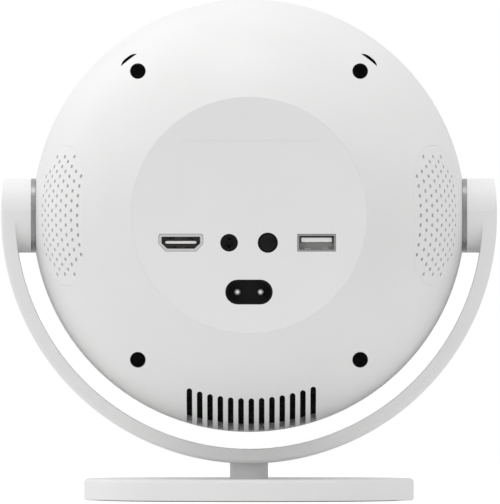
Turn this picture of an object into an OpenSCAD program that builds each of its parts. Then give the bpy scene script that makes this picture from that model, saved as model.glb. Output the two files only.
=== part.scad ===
// Ball-shaped tabletop video projector that tilts in a U-shaped yoke on a round base.
// Millimetres, +Z up, origin at the centre of the underside of the base.
// The lens looks along -Y and the connector panel faces +Y. "Left" is +X, as
// seen by someone who stands behind the projector.
// All head pieces are drawn about the centre of the ball and lifted to the tilt axis.

/* [Head] */
// Outer radius of the ball
ball_r = 80; // [79.8:0.1:80.3]
// Wall thickness of the two half shells
wall = 2.8; // [2.5:0.1:2.9]
// Radius of the flat connector panel at the back
panel_r = 43.35; // [43:0.05:44]
// Height of the tilt axis above the table
axis_h = 105.3; // [104:0.1:116]
// Sideways distance of the shell screws from the middle
screw_x = 40.9; // [40.5:0.1:41.6]
// Distance of the shell screws above and below the tilt axis
screw_z = 53.1; // [52.8:0.1:53.6]

/* [Air slots and speaker grilles] */
// Number of air slots at the bottom of the rear shell
vent_n = 13; // [9:1:15]
// Width of one air slot
vent_w = 2.04; // [1.5:0.01:2.4]
// Distance from slot to slot
vent_pitch = 3.8; // [3.2:0.01:4]
// Radius of the arc that the upper slot ends follow
vent_r = 67.3; // [67:0.1:70]
// Diameter of a speaker grille hole
grille_hole = 1.5; // [0.9:0.05:1.6]
// Width of a speaker grille
grille_w = 37.6; // [37:0.1:38]
// Height of a speaker grille
grille_h = 52; // [51:0.5:52]

/* [Connectors] */
// Height of the connector row above the tilt axis
port_z = -10.05; // [-10.5:0.05:-9.5]
// Sideways place of the flat video socket
hdmi_x = 25; // [24.5:0.1:25.5]
// Sideways place of the audio jack
jack_x = 7.3; // [6.8:0.1:8]
// Sideways place of the infrared receiver
ir_x = -6.9; // [-8:0.1:-6.5]
// Sideways place of the serial bus socket
usb_x = -24.8; // [-25.5:0.1:-24]
// Height of the mains inlet above the tilt axis
ac_z = -28.15; // [-28.5:0.05:-27.8]

/* [Yoke and base] */
// Inner radius of the yoke band
yoke_ri = 86.4; // [85.8:0.1:86.8]
// Outer radius of the yoke band
yoke_ro = 91.6; // [91.2:0.1:92.4]
// Half width of the yoke band
yoke_hw = 13.6; // [12:0.1:13.6]
// Radius of the two pivot bosses
boss_r = 13.7; // [13.7:0.1:14.4]
// Radius of the round base
base_r = 61; // [59:0.5:75]
// Height of the top of the base above the table
base_h = 8.2; // [8:0.1:10]
// Radius of the stem between base and yoke
stem_r = 7.1; // [6.5:0.05:9]
// Radius of the tilt shafts
shaft_r = 3.95; // [3.8:0.01:3.95]

/* [Lens] */
// Outer radius of the sliding lens barrel
barrel_r = 22; // [21.8:0.05:22]
// Outer radius of the focus ring
focus_r = 30.5; // [29.8:0.1:31]
// Number of grip ridges on the focus ring
focus_n = 60; // [40:2:72]
// Lens travel each way from the middle
focus_s = 2.5; // [1.5:0.1:2.5]
// Turn of the focus ring each way from the middle, in degrees
focus_a = 40; // [30:1:45]

/* [Hidden] */
$fn = 128;
inner_r = ball_r - wall;
panel_y = sqrt(ball_r * ball_r - panel_r * panel_r);
yoke_bottom = axis_h - yoke_ro;
flat_x = 78.75;         // flats on the ball at the pivots
spk_az = 27;            // direction of a speaker, from +X towards +Y
front_y = -60;          // front edge of the front shell
pin_y = -58;            // focus pin at the middle of its travel
fan_y = 15;             // fan centre
pad_t = 0.8;            // thickness of the foot pad
rim_z = 0.3;            // gap between the rim of the base and the table
white = "#f1f1ef"; grey = "#77797b"; black = "#161616"; steel = "#b8bbbf";
board = "#1f5c3c"; clear = "#cfe2ec"; rubber = "#2b2b2c"; brass = "#c9a552";

// ---------- helpers ----------
module head() { translate([0, 0, axis_h]) children(); }
module both() { children(); mirror([1, 0, 0]) children(); }
module box(x0, x1, y0, y1, z0, z1) { translate([x0, y0, z0]) cube([x1 - x0, y1 - y0, z1 - z0]); }
module cyl_x(r, x0, x1, y = 0, z = 0) { translate([x0, y, z]) rotate([0, 90, 0]) cylinder(r = r, h = x1 - x0); }
module cyl_y(r, y0, y1, x = 0, z = 0) { translate([x, y1, z]) rotate([90, 0, 0]) cylinder(r = r, h = y1 - y0); }
module cyl_z(r, z0, z1, x = 0, y = 0) { translate([x, y, z0]) cylinder(r = r, h = z1 - z0); }
// flat outline drawn in X and Z, from y0 to y1
module plate_y(y0, y1) { translate([0, y1, 0]) rotate([90, 0, 0]) linear_extrude(height = y1 - y0) children(); }
// flat outline drawn in Y and Z, from x0 to x1
module plate_x(x0, x1) { translate([x0, 0, 0]) rotate([90, 0, 90]) linear_extrude(height = x1 - x0) children(); }
// profile of [radius, y] turned about the Y axis, or of [radius, x] about the X axis
module turn_y() { rotate([-90, 0, 0]) rotate_extrude() children(); }
module turn_x() { rotate([0, 90, 0]) rotate_extrude() children(); }
// ball with its poles front and back
module ball(r) { rotate([90, 0, 0]) sphere(r = r); }
// frame of the left speaker: +X points out of the ball through the speaker
module spk() { rotate([0, 0, spk_az]) children(); }
// frame of the power button: +Z points out of the ball through the button
module btn() { rotate([35, 0, 0]) children(); }

function arc(cx, cy, r, a0, a1, n) = [for (i = [0:n]) let (a = a0 + (a1 - a0) * i / n) [cx + r * cos(a), cy + r * sin(a)]];
function tall(hw, hh, n = 14) = concat(arc(0, hh - hw, hw, 0, 180, n), arc(0, hw - hh, hw, 180, 360, n));
function wide(hw, hh, n = 12) = concat(arc(hw - hh, 0, hh, -90, 90, n), arc(hh - hw, 0, hh, 90, 270, n));
function vent_pts(x, zt) = concat([[x - vent_w / 2, -90]], arc(x, zt - vent_w / 2, vent_w / 2, 180, 0, 8), [[x + vent_w / 2, -90]]);
// grille: meridian numbers that hold a hole in a row counted from the top
function grille_cols(row) = (row == 1 || row == 3 || row == 23 || row == 25) ? [2, 4, 6]
    : (row == 2 || row == 24) ? [3, 5] : row % 2 == 0 ? [1, 3, 5, 7] : [0, 2, 4, 6, 8];
// outline of the flat video socket: half width, top, shoulder, half width and height of the bottom, corner radius
function hdmi_pts(w, t, s, b, d, c) = concat(arc(w - c, t - c, c, 0, 90, 4), arc(c - w, t - c, c, 90, 180, 4),
    [[-w, s], [-b, d], [b, d], [w, s]]);
function hdmi_out(g) = hdmi_pts(8.05 + g, 3.12 + g, -0.38, 5.6 + g * 0.6, -3.06 - g, 0.9);
hdmi_in = hdmi_pts(7.1, 2.2, -0.27, 5, -2.2, 0.2);

// ---------- stand ----------
module base_plate() color(white) difference() {
    rotate_extrude() polygon(concat([[0, rim_z], [base_r - 0.4, rim_z], [base_r, rim_z + 0.4]],
        arc(base_r - 1.4, base_h - 1.4, 1.4, 0, 90, 10), [[0, base_h]]));
    cyl_z(56.5, -1, base_h - 2.6);
    cyl_z(2.6, -1, base_h + 1);
}

module base_weight() color(steel) difference() {
    cyl_z(54, 1.9, base_h - 2.7);
    cyl_z(6, 0, base_h);
}

module bottom_cover() color(rubber) cyl_z(56.3, pad_t, 1.8);

module foot_pad() color(rubber) difference() {
    cyl_z(55.5, 0, pad_t);
    cyl_z(44, -1, 2);
}

module stem() color(white) difference() {
    cyl_z(stem_r, base_h, yoke_bottom + 3);
    head() cyl_y(yoke_ro + 0.02, -30, 30);
    cyl_z(2.6, 0, axis_h);
}

module stem_bolt() color(steel) difference() {
    union() {
        cyl_z(4.25, base_h - 5.2, base_h - 2.6);
        cyl_z(2.5, base_h - 3.1, yoke_bottom + 4);
    }
    translate([0, 0, base_h - 5.6]) cylinder(r = 2, h = 2, $fn = 6);
}

module yoke() color(white) head() difference() {
    intersection() {
        union() {
            difference() {
                cyl_y(yoke_ro + 3, -20, 20);
                cyl_y(yoke_ri, -30, 30);
                box(-100, 100, -40, 40, 0, 100);
            }
            both() turn_x() polygon([[0, 80.5], [boss_r - 0.1, 80.5], [boss_r, 80.6], [boss_r, 99], [0, 99]]);
        }
        // drum with rounded outer edges
        turn_y() polygon(concat([[0, -yoke_hw]],
            arc(yoke_ro - 1.7, -yoke_hw + 1.7, 1.7, 270, 360, 10),
            arc(yoke_ro - 1.7, yoke_hw - 1.7, 1.7, 0, 90, 10), [[0, yoke_hw]]));
    }
    both() cyl_x(4, 70, 100);
    both() cyl_x(9, 87.5, 100);
    cyl_z(2.55, -100, -yoke_ro + 4.2);
}

module hub_caps() color(white) head() both() cyl_x(8.9, 90.1, yoke_ro - 0.3);

module pivot_shafts() color(steel) head() both() difference() {
    union() {
        cyl_x(7, 87.55, 90);
        cyl_x(shaft_r, 63.2, 88);
    }
    translate([88.4, 0, 0]) rotate([0, 90, 0]) cylinder(r = 3, h = 5, $fn = 6);
}

module pivot_rings() color(grey) head() both() difference() {
    cyl_x(boss_r, flat_x + 0.12, 80.45);
    cyl_x(4.05, 70, 90);
}

module friction_washers() color(black) head() both() for (x = [72.4, 69.4]) difference() {
    cyl_x(7.5, x, x + 0.8);
    cyl_x(4.05, 60, 80);
}

module spring_washers() color(steel) head() both() difference() {
    turn_x() polygon([[4.05, 68.3], [6.9, 68.6], [6.9, 69.3], [4.05, 69]]);
    cyl_x(4, 60, 80);
}

module lock_nuts() color(steel) head() both() difference() {
    translate([64.3, 0, 0]) rotate([0, 90, 0]) cylinder(r = 6.9, h = 3.9, $fn = 6);
    cyl_x(4, 60, 80);
}

// ---------- head: shells ----------
module pivot_half_boss(y0, y1) { both() intersection() { cyl_x(16, 74.6, 79); box(70, 80, y0, y1, -20, 20); ball(ball_r - 1.4); } }

module rear_shell() color(white) head() difference() {
    union() {
        difference() {
            intersection() { ball(ball_r); box(-flat_x, flat_x, 0.2, panel_y + 1, -90, 90); }
            ball(inner_r);
            cyl_y(panel_r, 50, 80);
        }
        // ledge behind the connector panel
        difference() { cyl_y(panel_r + 1.9, 60.5, 64); cyl_y(panel_r - 3.1, 50, 70); }
        // screw bosses
        intersection() {
            both() for (s = [-1, 1]) cyl_y(4.8, 26, 60, screw_x, s * screw_z);
            ball(ball_r - 1.4);
        }
        pivot_half_boss(0.2, 20);
        // speaker posts
        intersection() {
            both() spk() for (s = [-1, 1]) cyl_x(2.4, 67.85, 78, 0, s * 26.6);
            ball(inner_r + 0.6);
        }
    }
    both() for (s = [-1, 1]) {
        cyl_y(1.7, 20, 40, screw_x, s * screw_z);
        cyl_y(2.9, 31, 60, screw_x, s * screw_z);
    }
    both() cyl_x(8.05, 60, 90);
    both() spk() {
        difference() { plate_x(60, 90) polygon(tall(grille_w / 2, grille_h / 2)); ball(ball_r - 1.45); }
        plate_x(60, 90) polygon(tall(grille_w / 2 - 0.8, grille_h / 2 - 1));
    }
    // air slots
    plate_y(2, 60) for (i = [0:vent_n - 1]) let (x = (i - (vent_n - 1) / 2) * vent_pitch - 0.85)
        polygon(vent_pts(x, -sqrt(vent_r * vent_r - x * x)));
    // crescent slits beside the upper screws
    both() plate_y(12, 60) rotate(52.3)
        polygon(concat([for (i = [-10:10]) [72.31 + 1.24 * (1 - pow(abs(i) / 10, 3)), 0.375 * i]],
            [for (i = [9:-1:-9]) [72.31 + 0.14 * (1 - i * i / 100), 0.375 * i]]));
}

module front_shell() color(white) head() difference() {
    union() {
        difference() {
            intersection() { ball(ball_r); box(-flat_x, flat_x, front_y, -0.1, -90, 90); }
            ball(inner_r);
        }
        // lip that centres the rear shell
        difference() {
            turn_y() polygon([[75.4, -4], [77.8, -4], [77.8, -0.4], [76.9, -0.4], [76.9, 2.5], [75.4, 2.5]]);
            both() box(60, 90, -10, 10, -18, 18);
        }
        pivot_half_boss(-20, -0.1);
        intersection() {
            union() {
                both() for (s = [-1, 1]) {
                    cyl_y(4, -60, 25.9, screw_x, s * screw_z);   // shell screw posts
                    cyl_y(3.5, -70, -31.05, 48, s * 26);         // light engine posts
                    cyl_y(3.3, -70, -20.05, 61, s * 13);         // pivot bracket posts
                }
                btn() both() cyl_z(2.2, 69.15, 79, 11, 0);       // button board posts
            }
            ball(ball_r - 1.4);
        }
    }
    both() for (s = [-1, 1]) {
        cyl_y(1.55, 6, 30, screw_x, s * screw_z);
        cyl_y(1.5, -43, -20, 48, s * 26);
        cyl_y(1.5, -32, -10, 61, s * 13);
    }
    both() cyl_x(8.05, 60, 90);
    btn() cyl_z(6.3, 60, 90);
}

module rear_io_panel() color("#e9e9e8") head() difference() {
    union() {
        cyl_y(panel_r - 0.05, 64.05, panel_y);
        both() { cyl_y(3, 53.65, 64.5, 34, 2); cyl_y(3, 53.65, 64.5, 24, 27); }
    }
    // bare shallow field
    box(-26.3, 25.1, panel_y - 0.15, 70, 2.8, 27.6);
    translate([hdmi_x, 0, port_z]) plate_y(60, 70) polygon(hdmi_out(0.13));
    translate([usb_x, 0, port_z]) box(-7.07, 7.07, 60, 70, -3.22, 3.22);
    cyl_y(3.25, 60, 70, jack_x, port_z);
    cyl_y(3.71, 60, 70, ir_x, port_z);
    translate([0, 0, ac_z]) plate_y(60, 70) polygon(wide(8.72, 4.56));
    both() { cyl_y(1.2, 50, 62, 34, 2); cyl_y(1.2, 50, 62, 24, 27); }
}

module grille() {
    difference() {
        intersection() {
            ball(ball_r);
            spk() plate_x(60, 90) polygon(tall(grille_w / 2 - 0.05, grille_h / 2 - 0.05));
        }
        ball(ball_r - 1.4);
        for (row = [1:25], k = grille_cols(row)) let (z = (13 - row) * 1.8, a = 52.24 + 2.75 * k - 0.03 * k * k - 0.0024 * z * z)
            rotate([0, -asin(z / ball_r), 90 - a]) translate([ball_r - 3, 0, 0])
                rotate([0, 90, 0]) cylinder(d = grille_hole, h = 6, $fn = 16);
    }
}
module speaker_grille_left() color(white) head() grille();
module speaker_grille_right() color(white) head() mirror([1, 0, 0]) grille();

module speaker() {
    spk() difference() {
        union() {
            turn_x() polygon([[0, 52], [9, 52], [9, 57.5], [16.5, 57.5], [16.5, 66], [18.5, 66], [18.5, 67.8], [0, 67.8]]);
            plate_x(66, 67.8) square([8, 58.6], center = true);
        }
        cyl_x(15, 59, 80);
    }
}
module speaker_left() color(black) head() speaker();
module speaker_right() color(black) head() mirror([1, 0, 0]) speaker();

module speaker_cones() color(rubber) head() both() spk() turn_x()
    polygon([[0, 60.4], [4, 60.4], [14.8, 66.2], [14.8, 67], [13.6, 67], [5, 62.4], [3.6, 63.3], [0, 63.8]]);

module dust_filter() color(black) head() intersection() {
    difference() { ball(inner_r - 0.1); ball(inner_r - 1.6); }
    box(-27, 27, 3, 43, -90, -40);
}

module shell_screws() color(steel) head() both() for (s = [-1, 1]) difference() {
    union() {
        cyl_y(2.6, 31, 33, screw_x, s * screw_z);
        cyl_y(1.5, 8, 32, screw_x, s * screw_z);
    }
    translate([screw_x, 0, s * screw_z]) {
        box(-1.5, 1.5, 32, 34, -0.3, 0.3);
        box(-0.3, 0.3, 32, 34, -1.5, 1.5);
    }
}

// ---------- head: front and lens seat ----------
module front_bezel() color(steel) head() turn_y() polygon(concat([[46.6, front_y - 0.05], [46.6, front_y - 0.8],
    [47, front_y - 1.2]], arc(51.4, front_y - 0.2, 1, 270, 360, 6), [[52.4, front_y - 0.05]]));

module front_fascia() color(black) head() turn_y() polygon([[48.3, -59.9], [34.2, -52.6], [32.2, -51.6],
    [32.2, -34.2], [33.8, -34.2], [33.8, -50.6], [46.6, -57.4], [48.3, -57.4]]);

module lens_mount() color(black) head() difference() {
    turn_y() polygon([[22.05, -60], [25, -60], [25, -56], [26.2, -56], [26.2, -54], [25, -54], [25, -34],
        [34, -34], [34, -31.05], [22.05, -31.05]]);
    box(-1.6, 1.6, -70, -53.6, 15, 40);
}

module focus_ring() color(black) head() difference() {
    union() {
        // grip with straight ridges
        plate_y(-65.8, -54) polygon([for (i = [0:focus_n - 1], p = [[0.05, -0.7], [0.2, 0], [0.6, 0], [0.75, -0.7]])
            let (a = (i + p[0]) * 360 / focus_n) [(focus_r + p[1]) * cos(a), (focus_r + p[1]) * sin(a)]]);
        turn_y() polygon([[0, -67.25], [27.6, -67.25], [29.2, -65.7], [29.2, -52.5], [0, -52.5]]);
    }
    cyl_y(22.6, -80, -50);
    cyl_y(25.05, -60.3, -50);
    cyl_y(26.5, -56.3, -53.7);
    turn_y() polygon([[20, -68], [25.4, -68], [22.5, -65], [20, -65]]);
    // helical track of the focus pin
    for (i = [-8:8]) let (a = focus_a * i / 8)
        rotate([0, a, 0]) translate([0, pin_y + focus_s * i / 8, 24.9]) cube([5, 3.7, 6.6], center = true);
}

module lens_barrel() color(black) head() difference() {
    turn_y() polygon([[20.8, -63.5], [barrel_r - 0.5, -63.5], [barrel_r, -63], [barrel_r, -36], [19.5, -36],
        [19.5, -44.5], [17.6, -44.5], [17.6, -51.7], [18.2, -51.7], [18.2, -55.3], [19.5, -55.3], [19.5, -62]]);
    cyl_z(1.5, 15, 30, 0, pin_y);
}

// convex element between two ball faces: vertex and radius of each face
module element(y0, r0, y1, r1, r) {
    intersection() {
        translate([0, y0 + r0, 0]) ball(r0);
        translate([0, y1 - r1, 0]) ball(r1);
        cyl_y(r, y0 - 5, y1 + 5);
    }
}

module lens_elements() color(clear) head() {
    element(-62, 45, -53, 70, 19.4);
    difference() {
        cyl_y(17.5, -51.5, -48.2);
        translate([0, -94.2, 0]) ball(45);
    }
    element(-47, 60, -39, 60, 19.4);
}

module lens_retainer() color(grey) head() {
    turn_y() polygon([[17.8, -60.6], [19.4, -60.6], [19.4, -58.4], [18.3, -58.4], [17.8, -58.8]]);
    turn_y() polygon([[17.6, -41.3], [19.4, -41.3], [19.4, -39.8], [17.6, -39.8]]);
}

module focus_pin() color(steel) head() cyl_z(1.48, 19.7, 27.8, 0, pin_y);

// ---------- head: light engine ----------
module groove(y0, y1) { box(-34.9, 34.9, y0 - 0.1, y1 + 0.1, -23.9, 40); }
module pane(y0, y1) { box(-34.75, 34.75, y0, y1, -23.75, 22.9); }

module engine_housing() color(black) head() difference() {
    union() {
        difference() {
            box(-37, 37, -29, 34, -26, 23);
            box(-34, 34, -28.5, 40, -23, 40);
            groove(-6, -4.5);
            groove(0, 2);
            groove(6, 7.1);
            groove(12, 13.5);
        }
        box(-52, 52, -31, -28.5, -30, 30);
        for (x = [-16, 16], y = [-16, 16]) cyl_z(3, -43.7, -25, x, fan_y + y);
    }
    cyl_y(23, -40, -20);
    both() for (s = [-1, 1]) cyl_y(1.8, -40, -20, 48, s * 26);
    for (x = [-16, 16], y = [-16, 16]) cyl_z(1.3, -50, -34, x, fan_y + y);
    // air to the liquid crystal panel
    box(-22, 22, 2.8, 5.4, -30, -20);
}

module engine_cover() color(black) head() difference() {
    union() {
        box(-37, 37, -28.4, 34, 23.1, 26);
        for (x = [-28, 28], y = [-20, 24]) cyl_z(3, 25, 41.9, x, y);
    }
    box(-22, 22, 2.8, 5.4, 20, 30);
    for (x = [-28, 28], y = [-20, 24]) cyl_z(1.2, 34, 50, x, y);
}

module engine_screws() color(steel) head() both() for (s = [-1, 1]) {
    cyl_y(2.8, -28.45, -26.4, 48, s * 26);
    cyl_y(1.4, -42, -28, 48, s * 26);
}

module fresnel_lenses() color(clear) head() { pane(-6, -4.5); pane(12, 13.5); }
module lcd_panel() color("#27303a") head() union() {
    pane(0, 2);
    box(-8, 8, 0.6, 1.2, 22.8, 23.05);
}
module heat_glass() color(clear) head() pane(6, 7.1);

module light_tunnel() color(steel) head() difference() {
    hull() { box(-33.6, 33.6, 13.9, 14.5, -22.6, 22.6); box(-13, 13, 30.6, 31.2, -13, 13); }
    hull() { box(-32.4, 32.4, 13.5, 14.5, -21.4, 21.4); box(-11.8, 11.8, 30.6, 31.6, -11.8, 11.8); }
}

module condenser_lens() color(clear) head() intersection() {
    translate([0, 37, 0]) ball(12);
    cyl_y(9.4, 20, 30.6);
}

module led_board() color(steel) head() box(-22, 22, 32.3, 34, -20, 20);

module led_emitter() color(brass) head() union() {
    box(-6, 6, 31.6, 32.25, -6, 6);
    box(-4.5, 4.5, 31.3, 31.7, -4.5, 4.5);
}

module heatsink() color(steel) head() union() {
    box(-36, 36, 34.05, 38, -25, 25);
    for (i = [-6:6]) box(i * 5.4 - 0.7, i * 5.4 + 0.7, 37.5, 49.5, -20, 20);
}

module fan_frame() color(black) head() translate([0, fan_y, 0]) union() {
    difference() {
        box(-20, 20, -20, 20, -54.25, -43.75);
        cyl_z(18.6, -60, -40);
        for (x = [-16, 16], y = [-16, 16]) cyl_z(1.6, -60, -40, x, y);
    }
    // motor seat on three struts
    difference() {
        union() {
            cyl_z(11, -54.25, -52.9);
            for (a = [30, 150, 270]) rotate([0, 0, a]) box(8, 19, -1.2, 1.2, -54.25, -52.9);
            cyl_z(3, -53, -47.5);
        }
        cyl_z(1.05, -53.6, -40);
    }
}

module fan_screws() color(steel) head() for (x = [-16, 16], y = [-16, 16]) {
    cyl_z(2.6, -56, -54.3, x, fan_y + y);
    cyl_z(1.2, -54.5, -36, x, fan_y + y);
}

module fan_rotor() color(rubber) head() translate([0, fan_y, 0]) union() {
    difference() {
        cyl_z(11.3, -52.3, -44.2);
        cyl_z(10, -53, -45.4);
    }
    cyl_z(1, -53.2, -45);
    intersection() {
        difference() { cyl_z(17.8, -52.2, -44.6); cyl_z(10.6, -60, -40); }
        for (i = [0:6]) rotate([0, 0, i * 360 / 7]) translate([14, 0, -48.4]) rotate([38, 0, 0])
            cube([9, 10, 1], center = true);
    }
}

// ---------- head: electronics ----------
module mainboard() color(board) head() difference() {
    union() {
        box(-40, 40, 52, 53.6, -18, 34);
        box(-8, 8, 53.5, 55.2, 8, 24);                                   // processor
        for (x = [-22, 14]) box(x, x + 8, 53.5, 54.7, 9, 21);             // memory
        for (x = [-30, 30]) cyl_y(3.1, 53.5, 60, x, 15);                  // capacitors
        box(-12, 12, 50.2, 52.1, 27, 32);                                 // flat cable sockets
        box(26, 36, 50.2, 52.1, -14, -9);
    }
    both() { cyl_y(1.6, 40, 60, 34, 2); cyl_y(1.6, 40, 60, 24, 27); }
}

module mainboard_screws() color(steel) head() both() for (p = [[34, 2], [24, 27]]) {
    cyl_y(2.4, 50.2, 51.95, p[0], p[1]);
    cyl_y(1.15, 51.5, 60, p[0], p[1]);
}

module hdmi_port() color(steel) head() translate([hdmi_x, 0, port_z]) difference() {
    plate_y(53.65, 66.9) polygon(hdmi_out(0));
    plate_y(55.5, 70) polygon(hdmi_in);
}

module usb_port() color(steel) head() translate([usb_x, 0, port_z]) difference() {
    box(-6.95, 6.95, 53.65, 66.9, -3.1, 3.1);
    box(-6.4, 6.4, 55.5, 70, -2.5, 2.5);
}

module port_tongues() color("#c8c9c8") head() {
    translate([hdmi_x, 0, port_z + 0.13]) plate_y(55.55, 65.7) polygon(wide(5.75, 0.49, 6));
    translate([usb_x, 0, port_z]) box(-5.55, 5.55, 55.55, 65.9, 0.26, 1.86);
}

module audio_jack() color(black) head() difference() {
    union() {
        translate([jack_x, 0, port_z]) box(-4, 4, 53.65, 62, -4.2, 4.2);
        cyl_y(3.2, 61, 66.9, jack_x, port_z);
    }
    cyl_y(1.8, 54.5, 70, jack_x, port_z);
}

module ir_receiver() color(black) head() intersection() {
    cyl_y(3.65, 53.65, 70, ir_x, port_z);
    translate([ir_x, 59.95, port_z]) ball(7.3);
}

module ac_inlet() color(black) head() translate([0, 0, ac_z]) difference() {
    union() {
        plate_y(50, 66.95) polygon(wide(8.67, 4.51));
        plate_y(61.9, 64) polygon(wide(11, 7));
    }
    plate_y(55, 70) polygon(wide(8.07, 4.01));
    both() cyl_y(1.22, 40, 60, 4.3, 0);
}

// round-nosed pins
module ac_pins() color(steel) head() both() translate([4.3, 0, ac_z]) turn_y()
    polygon(concat([[0, 46], [1.2, 46]], arc(0, 64, 1.2, 0, 82.5, 7), [[0, 65.2]]));

module psu_board() color(board) head() difference() {
    union() {
        box(-32, 32, -26, 32, 42, 43.6);
        box(-11, 11, -8, 12, 43.5, 53);                                   // transformer
        for (y = [-18, -6]) cyl_z(5, 43.5, 54, -20, y);                   // capacitors
        box(16, 18, -16, 14, 43.5, 53);                                   // heat plate
        box(20, 28, 0, 12, 43.5, 49);
        box(-26, -16, 12, 20, 43.5, 50);
    }
    for (x = [-28, 28], y = [-20, 24]) cyl_z(1.7, 40, 50, x, y);
}

module button_board() color(board) head() btn() union() {
    box(-13, 13, -7, 7, 67.5, 69.1);
    box(-3, 3, -3, 3, 69, 72.4);
    cyl_z(1.7, 72, 73.4);
}

module power_button() color("#dededc") head() btn() union() {
    intersection() { cyl_z(6, 75, 90); rotate([-35, 0, 0]) ball(ball_r + 0.35); }
    cyl_z(7.3, 74.2, 75.6);
}

// ---------- head: pivots ----------
module pivot_brackets() color(steel) head() both() difference() {
    union() {
        box(70.3, 72.3, -20, 10, -15, 15);
        box(56, 72.3, -20, -18, -15, 15);
    }
    cyl_x(4.3, 60, 80);
    for (s = [-1, 1]) cyl_y(1.7, -30, -10, 61, s * 13 * 0.999);
}

module bracket_screws() color(steel) head() both() for (s = [-1, 1]) {
    cyl_y(2.7, -17.95, -16, 61, s * 13 * 0.999);
    cyl_y(1.4, -31, -17, 61, s * 13 * 0.999);
}

module pivot_bushes() color(brass) head() both() difference() {
    union() { cyl_x(8, 74.55, flat_x - 0.1); cyl_x(10, 73.3, 74.55); }
    cyl_x(4.02, 60, 90);
}

// ---------- drawing ----------
base_plate();
base_weight();
bottom_cover();
foot_pad();
stem();
stem_bolt();
yoke();
hub_caps();
pivot_shafts();
pivot_rings();
friction_washers();
spring_washers();
lock_nuts();
rear_shell();
front_shell();
rear_io_panel();
speaker_grille_left();
speaker_grille_right();
speaker_left();
speaker_right();
speaker_cones();
dust_filter();
shell_screws();
front_bezel();
front_fascia();
lens_mount();
engine_housing();
engine_cover();
engine_screws();
fresnel_lenses();
lcd_panel();
heat_glass();
light_tunnel();
condenser_lens();
led_board();
led_emitter();
heatsink();
fan_frame();
fan_screws();
mainboard();
mainboard_screws();
hdmi_port();
usb_port();
port_tongues();
audio_jack();
ir_receiver();
ac_inlet();
ac_pins();
psu_board();
button_board();
pivot_brackets();
bracket_screws();
pivot_bushes();
lens_barrel();
lens_elements();
lens_retainer();
focus_pin();
focus_ring();
fan_rotor();
power_button();
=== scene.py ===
import math

import bmesh
import bpy
from mathutils import Matrix, Vector


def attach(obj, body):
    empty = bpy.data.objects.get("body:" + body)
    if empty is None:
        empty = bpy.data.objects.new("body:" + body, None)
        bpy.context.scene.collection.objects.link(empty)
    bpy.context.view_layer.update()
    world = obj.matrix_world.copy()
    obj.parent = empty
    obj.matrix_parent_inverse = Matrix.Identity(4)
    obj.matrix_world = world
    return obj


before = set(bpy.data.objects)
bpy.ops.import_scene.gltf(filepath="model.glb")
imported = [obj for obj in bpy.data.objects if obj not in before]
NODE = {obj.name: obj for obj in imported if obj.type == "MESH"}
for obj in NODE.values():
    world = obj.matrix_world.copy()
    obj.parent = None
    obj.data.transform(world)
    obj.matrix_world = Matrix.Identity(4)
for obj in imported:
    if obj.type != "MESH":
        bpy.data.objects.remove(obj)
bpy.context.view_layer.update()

scene = bpy.context.scene
MM = 0.001
AXIS_H = 0.1053         # height of the tilt axis, where the centre of the ball sits


# ---------------------------------------------------------------- camera
# level view of the back of the projector from far away
CAM_D = 8.0             # distance of the camera from the middle of the stand
PX_PER_MM = 2.7105      # picture scale in the plane 20 mm behind the tilt axis
cam_data = bpy.data.cameras.new("camera")
cam = bpy.data.objects.new("camera", cam_data)
scene.collection.objects.link(cam)
cam.location = (-0.00037, CAM_D, AXIS_H - 0.01346)
cam.rotation_euler = (math.radians(90), 0, math.radians(180))
cam_data.sensor_width = 36.0
cam_data.lens = 36.0 * (CAM_D - 0.020) / (504 / PX_PER_MM * MM)
cam_data.clip_start = 0.1
cam_data.clip_end = 100.0
scene.camera = cam
scene.view_settings.view_transform = "Standard"
scene.view_settings.look = "None"
scene.view_settings.exposure = 0.0
scene.view_settings.gamma = 1.0


# ---------------------------------------------------------------- node helpers
def new_material(name):
    m = bpy.data.materials.new(name)
    m.use_nodes = True
    t = m.node_tree
    t.nodes.clear()
    out = t.nodes.new("ShaderNodeOutputMaterial")
    bsdf = t.nodes.new("ShaderNodeBsdfPrincipled")
    t.links.new(bsdf.outputs["BSDF"], out.inputs["Surface"])
    return m, t, bsdf


def coords(t, scale=(1, 1, 1), centre=(0, 0, 0), turn=(0, 0, 0)):
    """Place in metres, moved to a centre, then scaled."""
    tc = t.nodes.new("ShaderNodeTexCoord")
    mp = t.nodes.new("ShaderNodeMapping")
    mp.vector_type = "POINT"
    mp.inputs["Location"].default_value = [-c * s for c, s in zip(centre, scale)]
    mp.inputs["Rotation"].default_value = turn
    mp.inputs["Scale"].default_value = scale
    t.links.new(tc.outputs["Object"], mp.inputs["Vector"])
    return mp.outputs["Vector"]


def noise(t, vec, scale, detail=2.0, rough=0.5, distort=0.0):
    n = t.nodes.new("ShaderNodeTexNoise")
    n.inputs["Scale"].default_value = scale
    n.inputs["Detail"].default_value = detail
    n.inputs["Roughness"].default_value = rough
    n.inputs["Distortion"].default_value = distort
    t.links.new(vec, n.inputs["Vector"])
    return n.outputs["Fac"]


def remap(t, fac, lo, hi, a=0.3, b=0.7):
    n = t.nodes.new("ShaderNodeMapRange")
    n.inputs["From Min"].default_value = a
    n.inputs["From Max"].default_value = b
    n.inputs["To Min"].default_value = lo
    n.inputs["To Max"].default_value = hi
    t.links.new(fac, n.inputs["Value"])
    return n.outputs["Result"]


def ramp(t, fac, stops):
    n = t.nodes.new("ShaderNodeValToRGB")
    e = n.color_ramp.elements
    while len(e) < len(stops):
        e.new(0.5)
    for el, (p, c) in zip(e, stops):
        el.position = p
        el.color = (*c, 1.0)
    t.links.new(fac, n.inputs["Fac"])
    return n.outputs["Color"]


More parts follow.
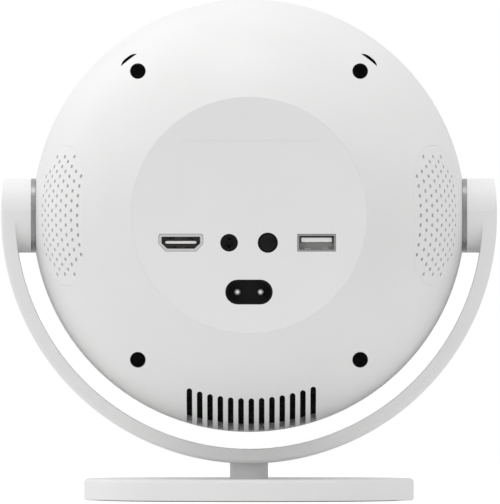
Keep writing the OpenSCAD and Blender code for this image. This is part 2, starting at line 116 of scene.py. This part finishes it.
def math_node(t, op, a, b=None):
    n = t.nodes.new("ShaderNodeMath")
    n.operation = op
    for i, v in enumerate((a, b)):
        if v is None:
            continue
        if isinstance(v, (int, float)):
            n.inputs[i].default_value = v
        else:
            t.links.new(v, n.inputs[i])
    return n.outputs["Value"]


def bump(t, height, strength, distance, normal=None):
    n = t.nodes.new("ShaderNodeBump")
    n.inputs["Strength"].default_value = strength
    n.inputs["Distance"].default_value = distance
    t.links.new(height, n.inputs["Height"])
    if normal is not None:
        t.links.new(normal, n.inputs["Normal"])
    return n.outputs["Normal"]


def round_edges(t, radius, samples=4):
    n = t.nodes.new("ShaderNodeBevel")
    n.samples = samples
    n.inputs["Radius"].default_value = radius
    return n.outputs["Normal"]


def split_xyz(t, vec):
    n = t.nodes.new("ShaderNodeSeparateXYZ")
    t.links.new(vec, n.inputs["Vector"])
    return n.outputs["X"], n.outputs["Y"], n.outputs["Z"]


def radius_of(t, vec, axis):
    """Distance from an axis through the mapped origin, as a vector for a one-way texture."""
    x, y, z = split_xyz(t, vec)
    a, b = {"X": (y, z), "Y": (x, z), "Z": (x, y)}[axis]
    along = {"X": x, "Y": y, "Z": z}[axis]
    r = math_node(t, "SQRT", math_node(t, "ADD", math_node(t, "MULTIPLY", a, a), math_node(t, "MULTIPLY", b, b)))
    n = t.nodes.new("ShaderNodeCombineXYZ")
    t.links.new(r, n.inputs["X"])
    t.links.new(along, n.inputs["Y"])
    return n.outputs["Vector"]


def put(t, bsdf, name, value):
    if isinstance(value, (int, float, tuple, list)):
        if isinstance(value, (tuple, list)) and len(value) == 3:
            value = (*value, 1.0)
        bsdf.inputs[name].default_value = value
    else:
        t.links.new(value, bsdf.inputs[name])


# ---------------------------------------------------------------- materials
def moulded(name, dark, light, rough, grain, strength, edge=0.0, spread=0.05, patch=35.0, **sockets):
    """Moulded plastic: spark-eroded grain, slow change of tone and gloss, softly broken edges."""
    m, t, b = new_material(name)
    v = coords(t)
    slow = noise(t, v, patch, 3.0, 0.55)
    put(t, b, "Base Color", ramp(t, slow, [(0.3, dark), (0.7, light)]))
    put(t, b, "Roughness", remap(t, slow, rough - spread, rough + spread))
    n = round_edges(t, edge) if edge else None
    put(t, b, "Normal", bump(t, noise(t, v, grain, 2.0), strength, 0.00005, n))
    for k, s in sockets.items():
        put(t, b, k.replace("_", " "), s)
    return m


def turned(name, col, col2, rough, axis, centre, lines, strength, metallic=1.0, edge=0.0, spread=0.06):
    """Lathe-turned metal: fine rings about an axis."""
    m, t, b = new_material(name)
    v = coords(t, centre=centre)
    rv = radius_of(t, v, axis)
    fine = noise(t, rv, lines, 3.0, 0.65)
    slow = noise(t, v, 60.0, 2.0)
    put(t, b, "Base Color", ramp(t, fine, [(0.3, col), (0.7, col2)]))
    put(t, b, "Metallic", metallic)
    put(t, b, "Roughness", remap(t, slow, rough - spread, rough + spread))
    n = round_edges(t, edge) if edge else None
    put(t, b, "Normal", bump(t, fine, strength, 0.00003, n))
    return m


def plated(name, col, col2, rough, metallic=1.0, scale=900.0, strength=0.08, edge=0.0, stretch=(1, 1, 1)):
    """Plated or drawn sheet metal: faint directional streaks and stains."""
    m, t, b = new_material(name)
    v = coords(t)
    s = coords(t, scale=stretch)
    slow = noise(t, v, 140.0, 3.0, 0.6)
    put(t, b, "Base Color", ramp(t, slow, [(0.3, col), (0.7, col2)]))
    put(t, b, "Metallic", metallic)
    put(t, b, "Roughness", remap(t, slow, rough - 0.06, rough + 0.08))
    n = round_edges(t, edge) if edge else None
    put(t, b, "Normal", bump(t, noise(t, s, scale, 2.0), strength, 0.00002, n))
    return m


def glass(name, tint, ior, film=0.0, rough=0.0):
    m, t, b = new_material(name)
    v = coords(t)
    put(t, b, "Base Color", ramp(t, noise(t, v, 25.0), [(0.3, tint), (0.7, tuple(min(1, c * 1.01) for c in tint))]))
    put(t, b, "Roughness", rough)
    put(t, b, "IOR", ior)
    put(t, b, "Transmission Weight", 1.0)
    if film:
        put(t, b, "Thin Film Thickness", film)
        put(t, b, "Thin Film IOR", 1.38)
    return m


def dark_lens_painted_depth(name, stops, reach):
    """Dark coated lens, opaque: bluish gloss over painted shade that darkens from the axis outwards, in place of the
    depth seen through the glass.
    """
    m, t, b = new_material(name)
    r = split_xyz(t, radius_of(t, coords(t, centre=(0, 0, AXIS_H)), "Y"))[0]
    put(t, b, "Base Color", ramp(t, remap(t, r, 0.0, 1.0, 0.0, reach), stops))
    put(t, b, "Roughness", 0.03)
    put(t, b, "IOR", 1.62)
    put(t, b, "Specular Tint", (0.78, 0.84, 1.0))
    return m


WHITE = moulded("white_satin", (0.855, 0.857, 0.852), (0.875, 0.876, 0.872), 0.42, 2600.0, 0.05, Specular_IOR_Level=0.3)
PANEL = moulded("panel_satin", (0.880, 0.882, 0.880), (0.896, 0.898, 0.896), 0.50, 3200.0, 0.05, Specular_IOR_Level=0.45)
STEM = moulded("stem_satin", (0.845, 0.847, 0.845), (0.865, 0.867, 0.865), 0.45, 2600.0, 0.05, edge=0.00025)
BUTTON = moulded("button_gloss", (0.80, 0.80, 0.79), (0.82, 0.82, 0.81), 0.24, 1800.0, 0.03, edge=0.00030)
BLACK = moulded("black_matt", (0.010, 0.010, 0.011), (0.017, 0.017, 0.018), 0.50, 2200.0, 0.12, edge=0.00018)
SOCKET = moulded("socket_black", (0.006, 0.006, 0.0064), (0.009, 0.009, 0.0094), 0.60, 2600.0, 0.08, Specular_IOR_Level=0.12)
RECEIVER = moulded("receiver_dome", (0.004, 0.004, 0.0045), (0.006, 0.006, 0.0064), 0.20, 1500.0, 0.02, spread=0.03, Specular_IOR_Level=0.18)
BLACK_IN = moulded("engine_black", (0.016, 0.016, 0.017), (0.026, 0.026, 0.027), 0.62, 1500.0, 0.18)
GLOSS = moulded("black_gloss", (0.006, 0.006, 0.007), (0.009, 0.009, 0.010), 0.07, 1200.0, 0.01, edge=0.00020, spread=0.02,
                Coat_Weight=0.6, Coat_Roughness=0.03)
RUBBER = moulded("foot_rubber", (0.022, 0.022, 0.023), (0.034, 0.034, 0.035), 0.82, 1100.0, 0.35, spread=0.08)
COVER = moulded("cover_black", (0.020, 0.020, 0.021), (0.030, 0.030, 0.031), 0.60, 1400.0, 0.30)
RING = turned("pivot_graphite", (0.27, 0.272, 0.278), (0.34, 0.342, 0.348), 0.28, "X", (0, 0, AXIS_H), 5200.0, 0.20, metallic=0.45)
BEZEL = turned("bezel_spun", (0.46, 0.465, 0.47), (0.58, 0.585, 0.59), 0.26, "Y", (0, 0, AXIS_H), 6500.0, 0.22, edge=0.00020)
RETAIN = turned("retainer_black", (0.020, 0.020, 0.021), (0.035, 0.035, 0.036), 0.40, "Y", (0, 0, AXIS_H), 5200.0, 0.35, metallic=0.3)
STEEL = plated("zinc_steel", (0.50, 0.51, 0.53), (0.62, 0.63, 0.645), 0.34)
SHAFT = turned("ground_steel", (0.52, 0.53, 0.54), (0.62, 0.63, 0.64), 0.22, "X", (0, 0, AXIS_H), 4200.0, 0.2)
SCREW = moulded("black_oxide", (0.0022, 0.0022, 0.0024), (0.0034, 0.0034, 0.0036), 0.45, 1500.0, 0.12, edge=0.00010, Specular_IOR_Level=0.12)
WEIGHT = plated("sawn_iron", (0.16, 0.16, 0.165), (0.30, 0.30, 0.305), 0.48, scale=420.0, strength=0.6, stretch=(1, 0.06, 1))
NICKEL = plated("nickel", (0.84, 0.838, 0.83), (0.90, 0.898, 0.89), 0.34, metallic=0.75, scale=1400.0, strength=0.10, edge=0.00010, stretch=(1, 0.15, 1))
GOLD = plated("contact_gold", (0.80, 0.56, 0.20), (0.90, 0.66, 0.28), 0.22, scale=1600.0, strength=0.06)
BRASS = turned("turned_brass", (0.62, 0.42, 0.15), (0.74, 0.53, 0.22), 0.27, "X", (0, 0, AXIS_H), 4200.0, 0.25)
ALU = plated("extruded_aluminium", (0.62, 0.63, 0.64), (0.72, 0.73, 0.74), 0.36, scale=700.0, strength=0.22, stretch=(1, 1, 0.08))
TONGUE = moulded("tongue_white", (0.91, 0.91, 0.905), (0.94, 0.94, 0.935), 0.45, 2600.0, 0.04, edge=0.00012)
GREY_IN = moulded("insulator_white", (0.86, 0.86, 0.855), (0.90, 0.90, 0.895), 0.55, 2400.0, 0.06)
PHOSPHOR = moulded("led_phosphor", (0.80, 0.58, 0.10), (0.88, 0.68, 0.16), 0.40, 2500.0, 0.15)
FIBRE = moulded("friction_fibre", (0.10, 0.055, 0.030), (0.16, 0.095, 0.055), 0.75, 1600.0, 0.5)
LENS = glass("coated_glass", (0.985, 0.992, 0.995), 1.52, film=128.0)
# painted shade: the front lens is lighter at the axis and darker towards its rim
FRONT_LENS = dark_lens_painted_depth("coated_front", [(0.0, (0.030, 0.033, 0.046)), (0.45, (0.016, 0.017, 0.026)), (0.80, (0.005, 0.005, 0.008)), (1.0, (0.003, 0.003, 0.004))], 0.016)
PANE = glass("pane_glass", (0.96, 0.985, 0.98), 1.50)
LIGHT_PIPE = glass("light_pipe", (0.90, 0.95, 0.97), 1.49, rough=0.25)


def depth_shaded_socket(name, deep, mouth, y_deep, y_mouth, rough, **sockets):
    """Socket part with painted light and shade: its tone changes from its depth to its mouth, along Y, in place of the
    light that falls into the recess.
    """
    m, t, b = new_material(name)
    x, y, z = split_xyz(t, coords(t, scale=(1000, 1000, 1000)))
    put(t, b, "Base Color", ramp(t, remap(t, y, 0.0, 1.0, y_deep, y_mouth), [(0.0, deep), (1.0, mouth)]))
    put(t, b, "Roughness", remap(t, noise(t, coords(t), 220.0, 2.0), rough - 0.05, rough + 0.05))
    for k, s in sockets.items():
        put(t, b, k.replace("_", " "), s)
    return m


# painted light and shade by depth: the video shell darkens into its depth, while the bus shell and the mains inlet are
# lighter deep inside than at their mouths
VIDEO_SHELL = depth_shaded_socket("video_shell", (0.16, 0.16, 0.161), (0.74, 0.74, 0.735), 66.35, 66.75, 0.36, Metallic=0.7)
BUS_SHELL = depth_shaded_socket("bus_shell", (0.62, 0.62, 0.615), (0.40, 0.40, 0.398), 66.2, 66.7, 0.36, Metallic=0.6)
INLET = depth_shaded_socket("inlet_black", (0.056, 0.056, 0.057), (0.006, 0.006, 0.0064), 65.2, 66.6, 0.55, Specular_IOR_Level=0.2)
SPRING = plated("spring_steel", (0.055, 0.055, 0.056), (0.085, 0.085, 0.086), 0.45, metallic=0.6)
JACK_IN = moulded("jack_grey", (0.56, 0.56, 0.56), (0.60, 0.60, 0.60), 0.60, 2400.0, 0.06)
SOCKET_IN = moulded("socket_grey", (0.40, 0.40, 0.402), (0.46, 0.46, 0.462), 0.60, 2400.0, 0.06)


def cloth(name, a, b_col, pitch):
    """Open acoustic cloth: two sets of crossing threads."""
    m, t, b = new_material(name)
    v = coords(t, scale=(1 / pitch, 1 / pitch, 1 / pitch))
    x, y, z = split_xyz(t, v)
    across = math_node(t, "SINE", math_node(t, "MULTIPLY", math_node(t, "ADD", x, y), math.pi))
    down = math_node(t, "SINE", math_node(t, "MULTIPLY", z, 2 * math.pi))
    weave = math_node(t, "MULTIPLY", across, down)
    put(t, b, "Base Color", ramp(t, remap(t, weave, 0.0, 1.0, -1.0, 1.0), [(0.2, a), (0.8, b_col)]))
    put(t, b, "Roughness", 0.9)
    put(t, b, "Sheen Weight", 0.25)
    put(t, b, "Sheen Roughness", 0.5)
    put(t, b, "Normal", bump(t, weave, 0.6, 0.00008))
    return m


def foam(name, a, b_col, cell):
    """Open-cell filter foam."""
    m, t, b = new_material(name)
    v = coords(t)
    vo = t.nodes.new("ShaderNodeTexVoronoi")
    vo.inputs["Scale"].default_value = 1 / cell
    t.links.new(v, vo.inputs["Vector"])
    put(t, b, "Base Color", ramp(t, vo.outputs["Distance"], [(0.15, a), (0.7, b_col)]))
    put(t, b, "Roughness", 0.92)
    put(t, b, "Specular IOR Level", 0.1)
    put(t, b, "Normal", bump(t, vo.outputs["Distance"], 0.9, 0.0004))
    return m


def paper(name, a, b_col):
    """Pressed pulp cone with a dust cap."""
    m, t, b = new_material(name)
    v = coords(t)
    fibre = noise(t, v, 900.0, 6.0, 0.75, 0.6)
    put(t, b, "Base Color", ramp(t, fibre, [(0.3, a), (0.7, b_col)]))
    put(t, b, "Roughness", 0.85)
    put(t, b, "Normal", bump(t, fibre, 0.5, 0.0001))
    return m


def board(name):
    """Solder mask over copper tracks."""
    m, t, b = new_material(name)
    v = coords(t, scale=(420.0, 420.0, 420.0))
    br = t.nodes.new("ShaderNodeTexBrick")
    br.offset = 0.37
    br.inputs["Scale"].default_value = 0.6
    br.inputs["Mortar Size"].default_value = 0.05
    br.inputs["Color1"].default_value = (0.010, 0.075, 0.035, 1)
    br.inputs["Color2"].default_value = (0.012, 0.085, 0.040, 1)
    br.inputs["Mortar"].default_value = (0.022, 0.135, 0.062, 1)
    t.links.new(v, br.inputs["Vector"])
    put(t, b, "Base Color", br.outputs["Color"])
    put(t, b, "Roughness", 0.32)
    put(t, b, "Normal", bump(t, br.outputs["Fac"], 0.3, 0.00005))
    return m


CLOTH = cloth("acoustic_cloth", (0.87, 0.87, 0.872), (0.95, 0.95, 0.952), 0.0006)
FOAM = foam("filter_foam_mat", (0.002, 0.002, 0.0022), (0.006, 0.006, 0.0064), 0.0011)
# painted shade: grey sheets put in the air slots and behind the crescent slits, where there is only shade
VENT_SHADE_SHEET = foam("vent_shade_sheet_mat", (0.50, 0.50, 0.502), (0.72, 0.72, 0.722), 0.0006)
SLIT_SHADE_SHEET = foam("slit_shade_sheet_mat", (0.22, 0.22, 0.222), (0.34, 0.34, 0.342), 0.0006)
PAPER = paper("cone_pulp", (0.020, 0.020, 0.022), (0.045, 0.045, 0.048))
BOARD = board("solder_mask")


def lamp_glow(name, col, level):
    m, t, b = new_material(name)
    v = coords(t)
    put(t, b, "Base Color", ramp(t, noise(t, v, 400.0), [(0.3, col), (0.7, tuple(min(1, c * 1.05) for c in col))]))
    put(t, b, "Roughness", 0.25)
    put(t, b, "Emission Color", col)
    put(t, b, "Emission Strength", level)
    return m


STATUS = lamp_glow("status_light", (0.55, 0.78, 0.95), 0.25)

LOOK = {
    "base_plate": WHITE, "stem": STEM, "yoke": WHITE, "hub_caps": WHITE, "rear_shell": WHITE, "front_shell": WHITE,
    "speaker_grille_left": WHITE, "speaker_grille_right": WHITE, "rear_io_panel": PANEL, "power_button": BUTTON,
    "base_weight": WEIGHT, "bottom_cover": COVER, "foot_pad": RUBBER,
    "stem_bolt": STEEL, "pivot_shafts": SHAFT, "pivot_rings": RING, "friction_washers": FIBRE, "spring_washers": STEEL,
    "lock_nuts": STEEL, "shell_screws": SCREW, "engine_screws": STEEL, "fan_screws": SCREW, "mainboard_screws": STEEL,
    "pivot_brackets": STEEL, "bracket_screws": STEEL, "pivot_bushes": BRASS,
    "speaker_left": BLACK_IN, "speaker_right": BLACK_IN, "speaker_cones": PAPER, "dust_filter": FOAM,
    "front_bezel": BEZEL, "front_fascia": GLOSS, "lens_mount": BLACK_IN, "engine_housing": BLACK_IN, "engine_cover": BLACK_IN,
    "fresnel_lenses": PANE, "lcd_panel": GLOSS, "heat_glass": PANE, "light_tunnel": ALU, "condenser_lens": LENS,
    "led_board": ALU, "led_emitter": PHOSPHOR, "heatsink": ALU, "fan_frame": BLACK_IN, "fan_rotor": BLACK_IN,
    "mainboard": BOARD, "psu_board": BOARD, "button_board": BOARD,
    "hdmi_port": VIDEO_SHELL, "usb_port": BUS_SHELL, "port_tongues": TONGUE, "audio_jack": SOCKET, "ir_receiver": RECEIVER,
    "ac_inlet": INLET, "ac_pins": NICKEL,
    "lens_barrel": BLACK, "lens_elements": FRONT_LENS, "lens_retainer": RETAIN, "focus_pin": STEEL, "focus_ring": BLACK,
}
for name, ob in NODE.items():
    ob.data.materials.clear()
    ob.data.materials.append(LOOK[name])


# ---------------------------------------------------------------- mesh helpers, millimetres about the centre of the ball
def rbox(bm, lo, hi, r=0.0, seg=2, turn=None):
    lo, hi = Vector(lo), Vector(hi)
    c, s = (lo + hi) / 2, hi - lo
    mat = Matrix.Translation(c) @ (turn.to_4x4() if turn else Matrix.Identity(4)) @ Matrix.Diagonal((*s, 1))
    made = bmesh.ops.create_cube(bm, size=1.0, matrix=mat)
    if r:
        edges = list({e for v in made["verts"] for e in v.link_edges})
        bmesh.ops.bevel(bm, geom=edges, offset=r, segments=seg, profile=0.5, affect="EDGES", clamp_overlap=True)


def prism_y(bm, pts, y0, y1, r=0.0):
    """Outline in X and Z drawn from y0 to y1."""
    a = [bm.verts.new((x, y0, z)) for x, z in pts]
    b = [bm.verts.new((x, y1, z)) for x, z in pts]
    n = len(pts)
    faces = [bm.faces.new(a), bm.faces.new(list(reversed(b)))]
    for i in range(n):
        j = (i + 1) % n
        faces.append(bm.faces.new((a[j], a[i], b[i], b[j])))
    bmesh.ops.recalc_face_normals(bm, faces=faces)
    if r:
        edges = list({e for f in faces[:2] for e in f.edges})
        bmesh.ops.bevel(bm, geom=edges, offset=r, segments=2, profile=0.5, affect="EDGES", clamp_overlap=True)


def strip(bm, pts, x0, x1, thick):
    """Bent spring leaf: a path of (y, z) swept across x, with a thickness."""
    rows = []
    n = len(pts)
    for i, (y, z) in enumerate(pts):
        p, q = pts[max(i - 1, 0)], pts[min(i + 1, n - 1)]
        d = Vector((q[0] - p[0], q[1] - p[1])).normalized()
        nx, nz = -d.y * thick / 2, d.x * thick / 2
        rows.append([bm.verts.new((x, y + s * nx, z + s * nz)) for s in (1, -1) for x in (x0, x1)])
    faces = []
    for a, b in zip(rows, rows[1:]):
        faces.append(bm.faces.new((a[0], a[1], b[1], b[0])))
        faces.append(bm.faces.new((a[3], a[2], b[2], b[3])))
        faces.append(bm.faces.new((a[0], b[0], b[2], a[2])))
        faces.append(bm.faces.new((a[1], a[3], b[3], b[1])))
    faces.append(bm.faces.new((rows[0][0], rows[0][2], rows[0][3], rows[0][1])))
    faces.append(bm.faces.new((rows[-1][0], rows[-1][1], rows[-1][3], rows[-1][2])))
    bmesh.ops.recalc_face_normals(bm, faces=faces)


def lathe(bm, profile, frame_mat, n=48):
    """Closed profile of (radius, height) turned about the local Z of a frame."""
    rings = []
    for r, h in profile:
        if r < 1e-9:
            rings.append([bm.verts.new(frame_mat @ Vector((0, 0, h)))])
        else:
            rings.append([bm.verts.new(frame_mat @ Vector((r * math.cos(2 * math.pi * k / n), r * math.sin(2 * math.pi * k / n), h)))
                          for k in range(n)])
    faces = []
    closed = list(zip(rings, rings[1:] + rings[:1]))
    for a, b in closed:
        if len(a) == 1 and len(b) == 1:
            continue
        for k in range(n):
            j = (k + 1) % n
            if len(a) == 1:
                faces.append(bm.faces.new((a[0], b[k], b[j])))
            elif len(b) == 1:
                faces.append(bm.faces.new((a[k], a[j], b[0])))
            else:
                faces.append(bm.faces.new((a[k], a[j], b[j], b[k])))
    bmesh.ops.recalc_face_normals(bm, faces=faces)


def piece(name, bm, body, mat, angle=35.0):
    """Finish a mesh drawn in millimetres about the ball's centre and let it ride on a body."""
    bmesh.ops.transform(bm, matrix=Matrix.Translation((0, 0, AXIS_H)) @ Matrix.Scale(MM, 4), verts=bm.verts)
    bm.normal_update()
    me = bpy.data.meshes.new(name)
    bm.to_mesh(me)
    bm.free()
    me.polygons.foreach_set("use_smooth", [True] * len(me.polygons))
    me.set_sharp_from_angle(angle=math.radians(angle))
    me.materials.append(mat)
    ob = bpy.data.objects.new(name, me)
    scene.collection.objects.link(ob)
    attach(ob, body)
    return ob


def shifted(dx, dz, pts):
    return [(x + dx, z + dz) for x, z in pts]


# ---------------------------------------------------------------- sockets
HX, UX, PZ = 25.0, -24.8, -10.05

bm = bmesh.new()
for k in range(10):
    x = HX - 4.5 + k
    rbox(bm, (x - 0.2, 57.6, PZ + 0.60), (x + 0.2, 64.7, PZ + 0.67), 0.02)
for k in range(9):
    x = HX - 4.0 + k
    rbox(bm, (x - 0.2, 57.6, PZ - 0.41), (x + 0.2, 64.7, PZ - 0.34), 0.02)
piece("video_contacts", bm, "head", GOLD)

bm = bmesh.new()
rbox(bm, (HX - 6.95, 55.52, PZ + 0.68), (HX + 6.95, 59.4, PZ + 2.1), 0.1)
prism_y(bm, shifted(HX, PZ, [(6.6, -0.72), (4.95, -2.1), (-4.95, -2.1), (-6.6, -0.72)]), 55.52, 59.4, 0.1)
piece("video_insulator", bm, "head", SOCKET_IN)

bm = bmesh.new()
for x in (-3.4, 3.4):
    strip(bm, [(57.0, PZ + 2.13), (59.0, PZ + 1.95), (61.5, PZ + 1.62), (63.2, PZ + 1.50), (64.2, PZ + 1.62), (65.2, PZ + 1.95)],
          HX + x - 1.0, HX + x + 1.0, 0.16)
for x in (-2.2, 2.2):
    strip(bm, [(57.0, PZ - 2.13), (59.0, PZ - 1.98), (61.5, PZ - 1.74), (63.2, PZ - 1.66), (64.2, PZ - 1.76), (65.2, PZ - 2.0)],
          HX + x - 0.9, HX + x + 0.9, 0.16)
piece("video_springs", bm, "head", SPRING)

bm = bmesh.new()
for x, y1 in ((-3.5, 65.0), (-1.0, 64.0), (1.0, 64.0), (3.5, 65.0)):
    rbox(bm, (UX + x - 0.5, 57.0, PZ + 0.15), (UX + x + 0.5, y1, PZ + 0.28), 0.04)
piece("bus_contacts", bm, "head", NICKEL)

bm = bmesh.new()
rbox(bm, (UX - 6.3, 55.52, PZ - 2.4), (UX + 6.3, 59.6, PZ + 0.14), 0.12)
rbox(bm, (UX - 6.3, 55.52, PZ + 1.90), (UX + 6.3, 56.6, PZ + 2.42), 0.08)
piece("bus_insulator", bm, "head", GREY_IN)

bm = bmesh.new()
for x in (-3.3, 3.3):
    strip(bm, [(58.0, PZ - 2.42), (60.0, PZ - 2.22), (62.2, PZ - 1.92), (63.6, PZ - 1.84), (64.6, PZ - 1.96), (65.4, PZ - 2.28)],
          UX + x - 1.2, UX + x + 1.2, 0.18)
piece("bus_springs", bm, "head", NICKEL)

# contact leaves deep in the audio jack
bm = bmesh.new()
JX = 7.3
for s in (1, -1):
    strip(bm, [(55.0, PZ + s * 1.66), (56.5, PZ + s * 1.5), (57.8, PZ + s * 1.18), (58.6, PZ + s * 1.1), (59.4, PZ + s * 1.24), (60.2, PZ + s * 1.6)],
          JX - 0.45, JX + 0.45, 0.14)
piece("jack_contacts", bm, "head", GOLD)

# pale base plate at the far end of the audio jack
bm = bmesh.new()
prism_y(bm, [(JX + 1.76 * math.cos(k * math.pi / 16), PZ + 1.76 * math.sin(k * math.pi / 16)) for k in range(32)], 54.52, 54.94, 0.0)
piece("jack_base", bm, "head", JACK_IN)


# white seal in the joint round the connector panel
bm = bmesh.new()
lathe(bm, [(43.305, 64.3), (43.345, 64.3), (43.345, 67.21), (43.305, 67.21)], Matrix.Rotation(math.radians(-90), 4, "X"), 256)
piece("panel_seal", bm, "head", PANEL, 35)


# grey strips at the ends of the air slots towards the front shell: painted shade, a darker sheet put where the slot
# ends lie in shade
bm = bmesh.new()
for k in range(13):
    x = (k - 6) * 3.8 - 0.85
    low = -math.sqrt(79.4 ** 2 - (abs(x) + 0.98) ** 2 - 2.4 ** 2)
    rbox(bm, (x - 0.98, 2.02, low), (x + 0.98, 2.4, low + 4.4), 0.0)
piece("vent_shade_strips", bm, "head", VENT_SHADE_SHEET)

# dark grey sheet behind the crescent slits: painted shade, put where the inside of the ball lies in shade
bm = bmesh.new()
ca, sa = math.cos(math.radians(52.3)), math.sin(math.radians(52.3))
for s in (1, -1):
    prism_y(bm, [(s * (p * ca - q * sa), p * sa + q * ca) for p, q in ((72.2, -5), (74.7, -5), (74.7, 5), (72.2, 5))], 19.4, 20.0, 0.0)
piece("slit_shade_sheet", bm, "head", SLIT_SHADE_SHEET)


# ---------------------------------------------------------------- acoustic cloth behind the speaker grilles
def stadium(hw, hh, n):
    out = []
    for k in range(n):
        a = 2 * math.pi * k / n
        x, z = hw * math.cos(a), hw * math.sin(a)
        out.append((x, z + (hh - hw if z >= 0 else hw - hh)))
    return out


for side, label in ((1, "left"), (-1, "right")):
    bm = bmesh.new()
    az = math.radians(27.0)
    out_dir = Vector((side * math.cos(az), math.sin(az), 0))
    tan_dir = Vector((-side * math.sin(az), math.cos(az), 0))
    edge_pts = stadium(17.8, 24.8, 72)
    layers = []
    for R in (78.46, 78.22):
        rings = []
        for f in (0.0, 0.12, 0.25, 0.4, 0.55, 0.7, 0.85, 1.0):
            ring = []
            for u, w in (edge_pts if f else [(0, 0)]):
                u, w = u * f, w * f
                p = out_dir * math.sqrt(R * R - u * u - w * w) + tan_dir * u + Vector((0, 0, w))
                ring.append(bm.verts.new(p))
            rings.append(ring)
        layers.append(rings)
    faces = []
    for rings in layers:
        for a, b in zip(rings, rings[1:]):
            for k in range(72):
                j = (k + 1) % 72
                faces.append(bm.faces.new((a[0], b[k], b[j]) if len(a) == 1 else (a[k], b[k], b[j], a[j])))
    a, b = layers[0][-1], layers[1][-1]
    for k in range(72):
        j = (k + 1) % 72
        faces.append(bm.faces.new((a[k], a[j], b[j], b[k])))
    bmesh.ops.recalc_face_normals(bm, faces=faces)
    piece("speaker_cloth_" + label, bm, "head", CLOTH, 60)


# ---------------------------------------------------------------- a status light on the front half
def on_ball(deg_from_top):
    """Frame on the ball in the middle plane, turned from the top towards the lens."""
    return Matrix.Rotation(math.radians(deg_from_top), 4, "X") @ Matrix.Translation((0, 0, 80.0))


bm = bmesh.new()
prof = [(0.0, -0.9), (0.9, -0.9), (0.9, 0.0)] + [(0.9 * math.cos(a), 0.28 * math.sin(a)) for a in
                                                 (math.radians(d) for d in (20, 40, 60, 78))] + [(0.0, 0.28)]
lathe(bm, prof, on_ball(45.0), 32)
piece("status_lamp", bm, "head", STATUS, 50)


# ---------------------------------------------------------------- floor, light and backdrop
bm = bmesh.new()
bmesh.ops.create_circle(bm, cap_ends=True, cap_tris=False, segments=160, radius=1.3)
me = bpy.data.meshes.new("floor")
bm.to_mesh(me)
bm.free()
floor = bpy.data.objects.new("floor", me)
scene.collection.objects.link(floor)
floor.location = (0, 0, -0.00002)
# a lit white table: what it sends back to the object, near its foot and farther away, and how white it looks
FLOOR_BACK, GLOW_FOOT, GLOW_FAR, FLOOR_WHITE = 0.45, 0.39, 0.25, 0.30
FLOOR, t, b = new_material("floor_white")
put(t, b, "Base Color", ramp(t, noise(t, coords(t), 6.0), [(0.3, (FLOOR_BACK, FLOOR_BACK, FLOOR_BACK)), (0.7, (FLOOR_BACK + 0.01,) * 3)]))
put(t, b, "Roughness", 0.7)
put(t, b, "Specular IOR Level", 0.2)
put(t, b, "Emission Color", (1, 1, 1))
put(t, b, "Emission Strength", remap(t, split_xyz(t, radius_of(t, coords(t), "Z"))[0], GLOW_FOOT, GLOW_FAR, 0.15, 0.25))
top = t.nodes.new("ShaderNodeBsdfPrincipled")
put(t, top, "Base Color", ramp(t, noise(t, coords(t), 6.0), [(0.3, (0.93, 0.93, 0.93)), (0.7, (0.94, 0.94, 0.94))]))
put(t, top, "Roughness", 0.7)
put(t, top, "Specular IOR Level", 0.2)
put(t, top, "Emission Color", (1, 1, 1))
put(t, top, "Emission Strength", FLOOR_WHITE)
floor_mix = t.nodes.new("ShaderNodeMixShader")
seen_ray = t.nodes.new("ShaderNodeLightPath")
t.links.new(seen_ray.outputs["Is Camera Ray"], floor_mix.inputs["Fac"])
t.links.new(b.outputs["BSDF"], floor_mix.inputs[1])
t.links.new(top.outputs["BSDF"], floor_mix.inputs[2])
t.links.new(floor_mix.outputs["Shader"], t.nodes["Material Output"].inputs["Surface"])
me.materials.append(FLOOR)

# the light all round: an even level and a few glows, each a direction, a focus and a strength
LIGHT_0 = 0.498
GLOWS = [((0, 0, 1), 2, 0.55), ((0, -1, 0), 2, 0.25), ((1, 1, 1), 2, 0.33), ((-1, 1, 1), 2, 0.03),
         ((1, -0.6, 0.8), 6, 0.34), ((1, -0.2, 0), 8, 0.08), ((-1, -0.2, 0), 8, 0.46)]
world = bpy.data.worlds.new("studio")
scene.world = world
world.use_nodes = True
t = world.node_tree
t.nodes.clear()
out = t.nodes.new("ShaderNodeOutputWorld")
mix = t.nodes.new("ShaderNodeMixShader")
path = t.nodes.new("ShaderNodeLightPath")
seen = t.nodes.new("ShaderNodeBackground")
seen.inputs["Color"].default_value = (1, 1, 1, 1)
seen.inputs["Strength"].default_value = 1.0
soft = t.nodes.new("ShaderNodeBackground")
soft.inputs["Color"].default_value = (1, 1, 1, 1)
tc = t.nodes.new("ShaderNodeTexCoord")
level = None
for direction, focus, strength in GLOWS:
    dot = t.nodes.new("ShaderNodeVectorMath")
    dot.operation = "DOT_PRODUCT"
    dot.inputs[1].default_value = Vector(direction).normalized()
    t.links.new(tc.outputs["Generated"], dot.inputs[0])
    glow = math_node(t, "MAXIMUM", dot.outputs["Value"], 0.0)
    glow = math_node(t, "MULTIPLY", math_node(t, "POWER", glow, focus), strength)
    level = math_node(t, "ADD", glow, LIGHT_0 if level is None else level)
t.links.new(level, soft.inputs["Strength"])
t.links.new(path.outputs["Is Camera Ray"], mix.inputs["Fac"])
t.links.new(soft.outputs["Background"], mix.inputs[1])
t.links.new(seen.outputs["Background"], mix.inputs[2])
t.links.new(mix.outputs["Shader"], out.inputs["Surface"])


def softbox(name, place, aim, size, power):
    d = bpy.data.lights.new(name, "AREA")
    d.shape = "SQUARE"
    d.size = size
    d.energy = power
    o = bpy.data.objects.new(name, d)
    scene.collection.objects.link(o)
    o.location = place
    o.rotation_euler = (Vector(aim) - Vector(place)).to_track_quat("-Z", "Y").to_euler()
    o.visible_camera = False
    return o


softbox("overhead", (0.08, 0.13, 2.2), (0, 0, 0.10), 0.72, 4.6)
softbox("top_left_back", (1.1, -1.0, 1.2), (0, 0, 0.10), 0.8, 1.3)
softbox("left_back", (1.3, -0.8, 0.35), (0, 0, 0.10), 0.7, 1.1)
